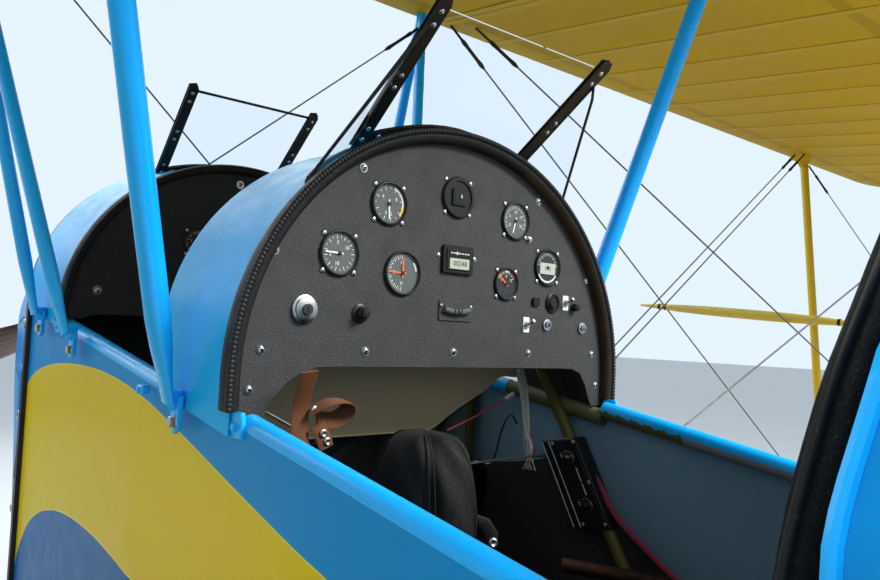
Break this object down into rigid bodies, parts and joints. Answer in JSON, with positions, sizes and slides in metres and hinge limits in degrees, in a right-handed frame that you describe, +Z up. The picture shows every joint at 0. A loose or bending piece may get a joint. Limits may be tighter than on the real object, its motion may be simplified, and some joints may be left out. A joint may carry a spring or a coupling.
{
  "type": "two-seat open-cockpit biplane with tail wheel",
  "caption": "Light two-seat biplane parked on its gear: open tandem cockpits, wire-braced fabric wings, wooden propeller, tripod undercarriage and steerable tail wheel.",
  "frame": {"origin": "middle of the whole machine's box, on the floor it stands on", "axes": "-Y forward, +X to port, +Z up"},
  "size_m": [7.6, 6.8948, 2.4329],
  "materials": {
    "blue_fabric": "doped fabric, glossy",
    "blue_paint": "gloss paint",
    "yellow_fabric": "doped fabric, semi-gloss",
    "yellow_paint": "gloss paint",
    "panel_black": "crackle paint, matt",
    "black_leather": "grained, satin",
    "tan_canvas": "plain weave, matt",
    "bare_aluminium": "satin",
    "engine_metal": "rough",
    "wood": "varnished",
    "acrylic": "clear",
    "black_plastic": "matt",
    "spring_steel": "satin",
    "tyre_rubber": "matt",
    "stay_wire": "bright"
  },
  "bodies": {
    "root": {"side_wall_port": "blue_fabric", "side_wall_starboard": "blue_fabric", "belly": "blue_fabric", "aft_fuselage": "blue_fabric", "turtledeck": "blue_fabric", "stabilizer": "blue_fabric", "fin": "blue_fabric", "rear_deck": "blue_paint", "front_deck": "blue_paint", "cowling": "blue_paint", "front_cabane_port": "blue_paint", "front_cabane_starboard": "blue_paint", "rear_cabane_port": "blue_paint", "rear_cabane_starboard": "blue_paint", "main_gear_port": "blue_paint", "main_gear_starboard": "blue_paint", "upper_wing_centre": "yellow_fabric", "upper_wing_port": "yellow_fabric", "upper_wing_starboard": "yellow_fabric", "lower_wing_port": "yellow_fabric", "lower_wing_starboard": "yellow_fabric", "front_interplane_strut_port": "yellow_paint", "front_interplane_strut_starboard": "yellow_paint", "rear_interplane_strut_port": "yellow_paint", "rear_interplane_strut_starboard": "yellow_paint", "javelin_port": "yellow_paint", "javelin_starboard": "yellow_paint", "rear_instrument_panel": "panel_black", "front_instrument_panel": "panel_black", "rear_seat": "black_leather", "front_seat": "tan_canvas", "firewall": "bare_aluminium", "rear_seat_box": "bare_aluminium", "front_seat_box": "bare_aluminium", "engine": "engine_metal", "rear_windscreen": "acrylic", "front_windscreen": "acrylic", "control_stick": "black_plastic", "tail_spring": "spring_steel", "front_flying_wire_port": "stay_wire", "front_flying_wire_starboard": "stay_wire", "rear_flying_wire_port": "stay_wire", "rear_flying_wire_starboard": "stay_wire", "front_landing_wire_port": "stay_wire", "front_landing_wire_starboard": "stay_wire", "rear_landing_wire_port": "stay_wire", "rear_landing_wire_starboard": "stay_wire"},
    "propeller": {"propeller": "wood", "spinner": "blue_paint"},
    "wheel_port": {"wheel_hub_port": "bare_aluminium", "tyre_port": "tyre_rubber"},
    "wheel_starboard": {"wheel_hub_starboard": "bare_aluminium", "tyre_starboard": "tyre_rubber"},
    "rudder": {"rudder": "blue_fabric"},
    "elevator": {"elevator": "blue_fabric"},
    "aileron_port": {"aileron_port": "yellow_fabric"},
    "aileron_starboard": {"aileron_starboard": "yellow_fabric"},
    "tail_fork": {"tail_wheel_fork": "spring_steel"},
    "tail_wheel": {"tail_wheel": "tyre_rubber"}
  },
  "joints": [
    {"name": "propeller_spin", "type": "hinge", "parent": "root", "child": "propeller", "pos_m": [0, -3.20888, 1.44237], "axis": [0, -0.9925, 0.1219], "continuous": true},
    {"name": "wheel_port_spin", "type": "hinge", "parent": "root", "child": "wheel_port", "pos_m": [0.76, -2.24514, 0.218], "axis": [1, 0, 0], "continuous": true},
    {"name": "wheel_starboard_spin", "type": "hinge", "parent": "root", "child": "wheel_starboard", "pos_m": [-0.76, -2.24514, 0.218], "axis": [1, 0, 0], "continuous": true},
    {"name": "rudder_hinge", "type": "hinge", "parent": "root", "child": "rudder", "pos_m": [0, 2.9661, 0.63933], "axis": [0, 0.1564, 0.9877], "range_deg": [-25, 25]},
    {"name": "elevator_hinge", "type": "hinge", "parent": "root", "child": "elevator", "pos_m": [0, 2.86318, 0.67993], "axis": [1, 0, 0], "range_deg": [-22, 25]},
    {"name": "aileron_port_hinge", "type": "hinge", "parent": "root", "child": "aileron_port", "pos_m": [1.5, -1.15163, 0.62952], "axis": [0.9997, 0.0027, 0.026], "range_deg": [-18, 18]},
    {"name": "aileron_starboard_hinge", "type": "hinge", "parent": "root", "child": "aileron_starboard", "pos_m": [-1.5, -1.15163, 0.62952], "axis": [0.9997, -0.0027, -0.026], "range_deg": [-18, 18]},
    {"name": "tail_wheel_steer", "type": "hinge", "parent": "root", "child": "tail_fork", "pos_m": [0, 3.13486, 0.2], "axis": [0, 0, 1], "range_deg": [-25, 25]},
    {"name": "tail_wheel_spin", "type": "hinge", "parent": "tail_fork", "child": "tail_wheel", "pos_m": [0, 3.20486, 0.08], "axis": [1, 0, 0], "continuous": true}
  ],
  "couplings": [
    {"joint": "aileron_starboard_hinge", "follows": "aileron_port_hinge", "ratio": -1},
    {"joint": "tail_wheel_steer", "follows": "rudder_hinge", "ratio": 1}
  ]
}
